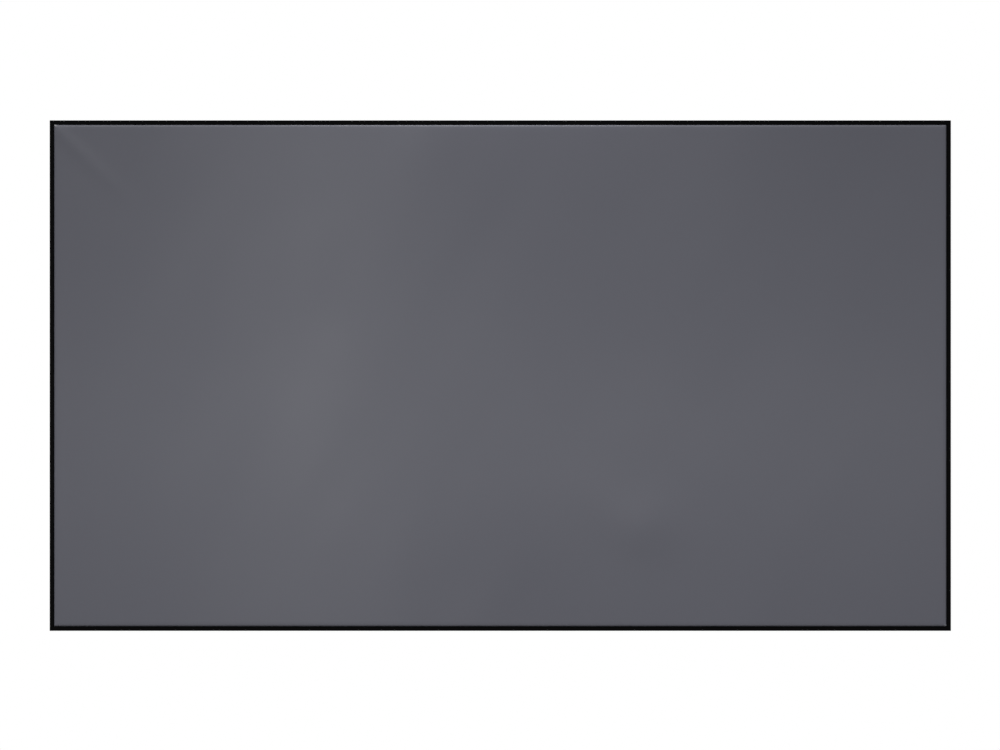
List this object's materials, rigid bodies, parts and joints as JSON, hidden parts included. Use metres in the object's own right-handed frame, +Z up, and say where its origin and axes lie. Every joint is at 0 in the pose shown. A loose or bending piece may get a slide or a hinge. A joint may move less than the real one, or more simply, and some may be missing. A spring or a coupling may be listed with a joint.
{
  "type": "projector screen",
  "caption": "Wall-hung fixed-frame projection screen: a grey sheet stretched over aluminium rails and folded round to the back, with a thin black bezel.",
  "frame": {"origin": "on the wall plane, behind the middle of the screen", "axes": "+X to the right as seen from the front, +Y towards the wall, +Z up; the grey face looks along -Y"},
  "size_m": [2.235, 0.038, 1.266],
  "materials": {
    "sheet": "satin grey optical face with fine level ridges",
    "bezel": "deep black matt coat",
    "rail": "black anodised extrusion",
    "zinc": "zinc-plated steel",
    "screw": "zinc-plated steel",
    "spring_steel": "bright spring steel",
    "hook": "black powder coat on steel",
    "nylon": "moulded nylon"
  },
  "bodies": {
    "root": {"screen_sheet": "sheet", "bezel_top_left": "bezel", "bezel_top_right": "bezel", "bezel_bottom_left": "bezel", "bezel_bottom_right": "bezel", "bezel_left": "bezel", "bezel_right": "bezel", "bezel_key_top_left": "nylon", "bezel_key_top_right": "nylon", "bezel_key_bottom_left": "nylon", "bezel_key_bottom_right": "nylon", "rail_top_left": "rail", "rail_top_right": "rail", "rail_bottom_left": "rail", "rail_bottom_right": "rail", "rail_left": "rail", "rail_right": "rail", "corner_bracket_top_left": "zinc", "corner_bracket_top_right": "zinc", "corner_bracket_bottom_left": "zinc", "corner_bracket_bottom_right": "zinc", "corner_bracket_top_left_screw_1": "screw", "corner_bracket_top_left_screw_2": "screw", "corner_bracket_top_left_screw_3": "screw", "corner_bracket_top_left_screw_4": "screw", "corner_bracket_top_right_screw_1": "screw", "corner_bracket_top_right_screw_2": "screw", "corner_bracket_top_right_screw_3": "screw", "corner_bracket_top_right_screw_4": "screw", "corner_bracket_bottom_left_screw_1": "screw", "corner_bracket_bottom_left_screw_2": "screw", "corner_bracket_bottom_left_screw_3": "screw", "corner_bracket_bottom_left_screw_4": "screw", "corner_bracket_bottom_right_screw_1": "screw", "corner_bracket_bottom_right_screw_2": "screw", "corner_bracket_bottom_right_screw_3": "screw", "corner_bracket_bottom_right_screw_4": "screw", "joiner_top": "zinc", "joiner_bottom": "zinc", "joiner_top_screw_1": "screw", "joiner_top_screw_2": "screw", "joiner_top_screw_3": "screw", "joiner_top_screw_4": "screw", "joiner_bottom_screw_1": "screw", "joiner_bottom_screw_2": "screw", "joiner_bottom_screw_3": "screw", "joiner_bottom_screw_4": "screw", "support_bar": "rail", "support_foot_top": "nylon", "support_foot_bottom": "nylon", "tension_rod_top_left": "spring_steel", "tension_rod_top_right": "spring_steel", "tension_rod_bottom_left": "spring_steel", "tension_rod_bottom_right": "spring_steel", "tension_rod_left": "spring_steel", "tension_rod_right": "spring_steel", "wall_hook_top_left": "hook", "wall_hook_top_right": "hook", "wall_hook_bottom_left": "hook", "wall_hook_bottom_right": "hook"}
  },
  "joints": []
}
